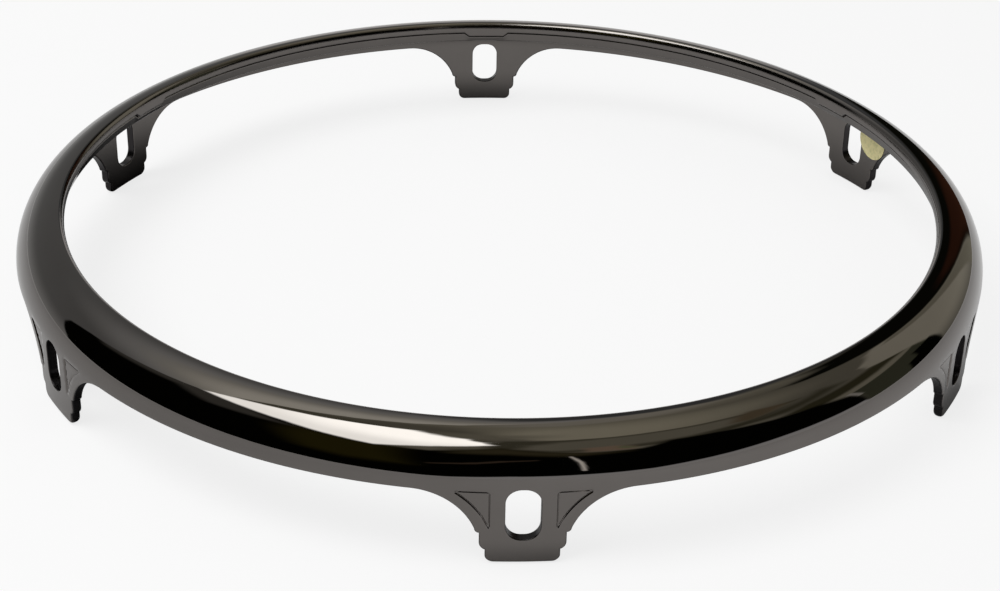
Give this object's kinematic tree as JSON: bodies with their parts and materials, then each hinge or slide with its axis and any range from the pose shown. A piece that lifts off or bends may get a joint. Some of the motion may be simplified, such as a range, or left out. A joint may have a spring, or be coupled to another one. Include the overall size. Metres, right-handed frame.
{
  "type": "drum hoop",
  "caption": "Rounded steel hoop for a hand drum: a rolled crest over a skirt, with slotted ears that take tuning hooks and end in stepped feet.",
  "frame": {"origin": "centre of the hoop, on the plane of the ears' feet", "axes": "+Z along the hoop's axis, from the feet up to the crest; -Y through the middle of ear 1"},
  "size_m": [0.3398, 0.3398, 0.0403],
  "materials": {
    "black_nickel": "black nickel plating, mirror polished",
    "plated_weld": "black nickel plating over an unpolished weld bead",
    "label_paper": "matte yellow-green sticker, bare"
  },
  "bodies": {
    "root": {"rim_ring": "black_nickel", "bearing_ring": "black_nickel", "ear_1": "black_nickel", "ear_2": "black_nickel", "ear_3": "black_nickel", "ear_4": "black_nickel", "ear_5": "black_nickel", "ear_6": "black_nickel", "ear_strap_1": "black_nickel", "ear_strap_2": "black_nickel", "ear_strap_3": "black_nickel", "ear_strap_4": "black_nickel", "ear_strap_5": "black_nickel", "ear_strap_6": "black_nickel", "ear_1_weld_left": "plated_weld", "ear_1_weld_right": "plated_weld", "ear_2_weld_left": "plated_weld", "ear_2_weld_right": "plated_weld", "ear_3_weld_left": "plated_weld", "ear_3_weld_right": "plated_weld", "ear_4_weld_left": "plated_weld", "ear_4_weld_right": "plated_weld", "ear_5_weld_left": "plated_weld", "ear_5_weld_right": "plated_weld", "ear_6_weld_left": "plated_weld", "ear_6_weld_right": "plated_weld", "inspection_label": "label_paper"}
  },
  "joints": []
}
